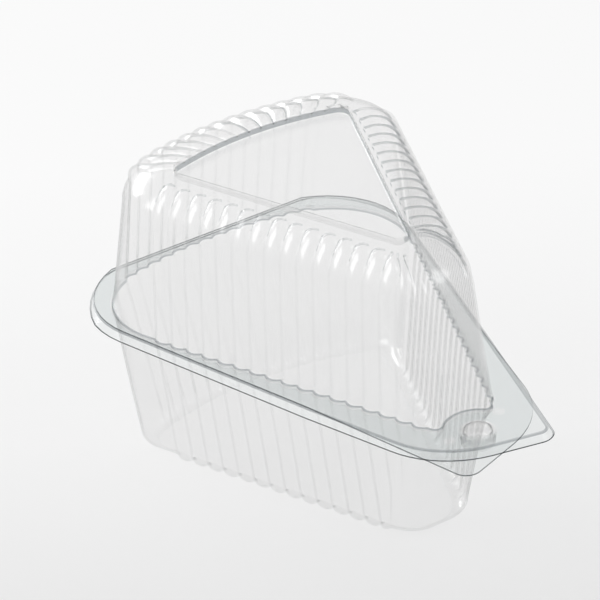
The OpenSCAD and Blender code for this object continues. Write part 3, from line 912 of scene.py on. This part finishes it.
def film_material(name, square_on, edge_on, roughness, shine):
    """Vacuum-formed PET film: clear and glossy, with painted shade that greys it towards edge on.

    square_on, edge_on: what it lets through, where edge_on is painted shade. shine: share of the full mirror
    that the surface has.
    """
    material, tree, out = blank_material(name)
    facing = add_node(tree, "ShaderNodeLayerWeight", {"Blend": 0.5}).outputs["Facing"]
    grazing = add_node(tree, "ShaderNodeMath", {"operation": "POWER", 1: TINT_POWER}, {0: facing})
    # Painted shade: what the film lets through turns grey towards edge on, for the dark surroundings that it
    # would mirror there
    passed = add_node(tree, "ShaderNodeMix", {"data_type": "RGBA", 6: square_on, 7: edge_on},
                      {0: grazing.outputs[0]})
    waves = add_node(tree, "ShaderNodeTexNoise", {"Scale": PACK_WIDTH / WAVE_LENGTH, "Detail": 2.0})
    bump = add_node(tree, "ShaderNodeBump", {"Strength": WAVE_STRENGTH, "Distance": WAVE_HEIGHT * MM},
                    {"Height": waves.outputs["Fac"]})
    steep = add_node(tree, "ShaderNodeMath", {"operation": "POWER", 1: MIRROR_POWER}, {0: facing})
    mirror = add_node(tree, "ShaderNodeMath", {"operation": "MULTIPLY_ADD", 1: MIRROR_EDGE_ON * shine,
                                               2: MIRROR_STRAIGHT * shine}, {0: steep.outputs[0]})
    gloss = add_node(tree, "ShaderNodeBsdfGlossy", {"Color": colour("ffffff"), "Roughness": roughness},
                     {"Normal": bump.outputs["Normal"]})
    clear = add_node(tree, "ShaderNodeBsdfTransparent", links={"Color": passed.outputs[2]})
    mix = add_node(tree, "ShaderNodeMixShader", links={0: mirror.outputs[0], 1: clear.outputs["BSDF"],
                                                       2: gloss.outputs["BSDF"]})
    tree.links.new(mix.outputs["Shader"], out.inputs["Surface"])
    return material


def film_materials():
    """The finishes of the film in the order of their names, made once for both pieces."""
    if FINISH_NAMES[FILM] in bpy.data.materials:
        return tuple(bpy.data.materials[name] for name in FINISH_NAMES)
    looks = bpy.context.scene.pack_looks
    return (
        # Stretched sheet of the walls: little but sharp highlights, and grey lines of painted shade where it
        # turns away
        film_material(FINISH_NAMES[FILM], looks.film_tint, looks.painted_edge_shade, looks.roughness, 1.0),
        # Punched edge: sight enters the sheet's thickness, and its dull dark line is painted shade
        film_material(FINISH_NAMES[CUT], looks.cut_painted_shade, looks.cut_painted_edge_shade, looks.cut_roughness, 0.3),
        # Small radius at fold and foot: it bends light like a thin lens, and its soft grey line is painted
        # shade
        film_material(FINISH_NAMES[BEND], looks.bend_painted_shade, looks.painted_edge_shade, looks.roughness, 0.35),
        # Valley between two flutes, and the end of one: the same painted shade in a finer line
        film_material(FINISH_NAMES[CREASE], looks.crease_painted_shade, looks.painted_edge_shade, looks.roughness, 0.6),
        # Flat sheet of the rim, which forming didn't thin: a faint grey of painted shade, with less shine
        film_material(FINISH_NAMES[RIM], looks.rim_painted_shade, looks.painted_edge_shade, looks.roughness, 0.4))


def seen_share(tree):
    """Socket that is 1 for rays from the camera and for those mirrored or passed by the film."""
    path = add_node(tree, "ShaderNodeLightPath")
    mirrored = add_node(tree, "ShaderNodeMath", {"operation": "MAXIMUM"},
                        {0: path.outputs["Is Camera Ray"], 1: path.outputs["Is Glossy Ray"]})
    passed = add_node(tree, "ShaderNodeMath", {"operation": "MAXIMUM"},
                      {0: mirrored.outputs[0], 1: path.outputs["Is Transmission Ray"]})
    return passed.outputs[0]


def backdrop_material():
    """Matt white paper sweep: where it is seen it mostly glows, with painted shade that greys it towards the
    viewer, and a soft shadow kept in the rest."""
    scene = bpy.context.scene
    looks = scene.pack_looks
    heading = scene.pack_view.heading + FLOOR_TURN
    material, tree, out = blank_material("Matt white paper sweep")
    paper = add_node(tree, "ShaderNodeBsdfDiffuse", {"Color": looks.floor_paper})
    place = add_node(tree, "ShaderNodeTexCoord")
    depth = add_node(tree, "ShaderNodeVectorMath",
                     {"operation": "DOT_PRODUCT", 1: (math.sin(heading), math.cos(heading), 0)},
                     {0: place.outputs["Object"]})
    along = add_node(tree, "ShaderNodeMapRange", {"From Min": FLOOR_START, "From Max": FLOOR_END},
                     {"Value": depth.outputs["Value"]})
    ramp = add_node(tree, "ShaderNodeValToRGB", links={"Fac": along.outputs["Result"]})
    stops = ramp.color_ramp.elements
    stops[0].color, stops[1].color = looks.floor_near, looks.floor_far
    stops.new(FLOOR_MIDDLE).color = looks.floor_middle
    glow = add_node(tree, "ShaderNodeEmission", links={"Color": ramp.outputs["Color"]})
    glowing = add_node(tree, "ShaderNodeMath", {"operation": "MULTIPLY", 1: FLOOR_GLOW},
                       {0: seen_share(tree)})
    mix = add_node(tree, "ShaderNodeMixShader", links={0: glowing.outputs[0], 1: paper.outputs["BSDF"],
                                                       2: glow.outputs["Emission"]})
    tree.links.new(mix.outputs["Shader"], out.inputs["Surface"])
    return material


def pale_room(scene):
    """Even pale room: white where it is seen, and a plain level of light elsewhere."""
    world = bpy.data.worlds.new("Pale room")
    world.use_nodes = True
    tree = world.node_tree
    tree.nodes.clear()
    out = tree.nodes.new("ShaderNodeOutputWorld")
    fill = add_node(tree, "ShaderNodeBackground", {"Color": colour("ffffff"), "Strength": ROOM_FILL})
    seen = add_node(tree, "ShaderNodeBackground", {"Color": colour("ffffff"), "Strength": ROOM_SEEN})
    mix = add_node(tree, "ShaderNodeMixShader", links={0: seen_share(tree), 1: fill.outputs[0],
                                                       2: seen.outputs[0]})
    tree.links.new(mix.outputs["Shader"], out.inputs["Surface"])
    scene.world = world


def soft_lamps(scene):
    """Rectangular softboxes that shine at the pack."""
    for name, place, (width, height), power in LAMPS:
        data = bpy.data.lights.new(name, "AREA")
        data.shape = "RECTANGLE"
        data.size = width
        data.size_y = height
        data.energy = power
        lamp = bpy.data.objects.new(name, data)
        back = (Vector(place) - Vector(LAMP_TARGET)).normalized()
        lamp.matrix_world = Matrix.Translation(place) @ back.to_track_quat("Z", "Y").to_matrix().to_4x4()
        scene.collection.objects.link(lamp)


def studio_camera(scene):
    """Camera at the fitted view: heading, tilt and roll, and its distance from the snap button."""
    view = scene.pack_view
    ahead = Vector((math.sin(view.heading) * math.cos(view.tilt),
                    math.cos(view.heading) * math.cos(view.tilt), -math.sin(view.tilt)))
    right = Vector((math.cos(view.heading), -math.sin(view.heading), 0))
    up = right.cross(ahead)
    across = right * math.cos(view.roll) + up * math.sin(view.roll)
    upward = up * math.cos(view.roll) - right * math.sin(view.roll)
    target = Vector((0, button_y(), scene.pack_wedge.rim_z))
    place = target - ahead * view.distance - across * view.across - upward * view.upward
    data = bpy.data.cameras.new("Studio camera")
    data.lens = view.lens
    data.sensor_width = SENSOR_WIDTH
    data.clip_start = CLIP_START
    camera = bpy.data.objects.new("Studio camera", data)
    axes = Matrix((across, upward, -ahead)).transposed().to_4x4()
    camera.matrix_world = Matrix.Translation(place * MM) @ axes
    scene.collection.objects.link(camera)
    scene.camera = camera


class SCENE_OT_pack_studio(bpy.types.Operator):
    """Lays the pale floor and sets the soft lamps, the world and the camera"""
    bl_idname = "scene.pack_studio"
    bl_label = "Set studio"
    bl_options = {"REGISTER", "UNDO"}

    def execute(self, context):
        scene = context.scene
        bpy.ops.mesh.primitive_plane_add(size=FLOOR_WIDTH)
        floor = context.object
        floor.name = "Studio_floor"
        floor.data.materials.append(backdrop_material())
        soft_lamps(scene)
        pale_room(scene)
        studio_camera(scene)
        scene.view_settings.view_transform = "Standard"
        scene.cycles.transparent_max_bounces = FILM_LAYERS
        return {"FINISHED"}


class VIEW3D_PT_slice_pack(bpy.types.Panel):
    """Sizes, tones and the steps that build the pack"""
    bl_label = "Slice Pack"
    bl_idname = "VIEW3D_PT_slice_pack"
    bl_space_type = "VIEW_3D"
    bl_region_type = "UI"
    bl_category = "Slice Pack"

    def draw(self, context):
        for title, name, kind in GROUPS:
            box = self.layout.box()
            box.label(text=title)
            for field in kind.__annotations__:
                box.prop(getattr(context.scene, name), field)
        for operator in OPERATORS:
            self.layout.operator(operator.bl_idname)


GROUPS = (("Wedge", "pack_wedge", WedgeSizes), ("Flutes", "pack_flutes", FluteSizes),
          ("Tray", "pack_tray", TraySizes), ("Lid", "pack_lid", LidSizes),
          ("Looks", "pack_looks", FilmLooks), ("View", "pack_view", StudioView))
OPERATORS = (MESH_OT_pack_tray, MESH_OT_pack_lid, SCENE_OT_pack_studio)
CLASSES = tuple(kind for _, _, kind in GROUPS) + OPERATORS + (VIEW3D_PT_slice_pack,)


def register():
    for cls in CLASSES:
        bpy.utils.register_class(cls)
    for _, name, kind in GROUPS:
        setattr(bpy.types.Scene, name, PointerProperty(type=kind))


def unregister():
    for _, name, _ in GROUPS:
        delattr(bpy.types.Scene, name)
    for cls in reversed(CLASSES):
        bpy.utils.unregister_class(cls)


def main():
    register()
    bpy.ops.mesh.pack_tray()
    bpy.ops.mesh.pack_lid()
    bpy.ops.scene.pack_studio()


if __name__ == "__main__":
    main()
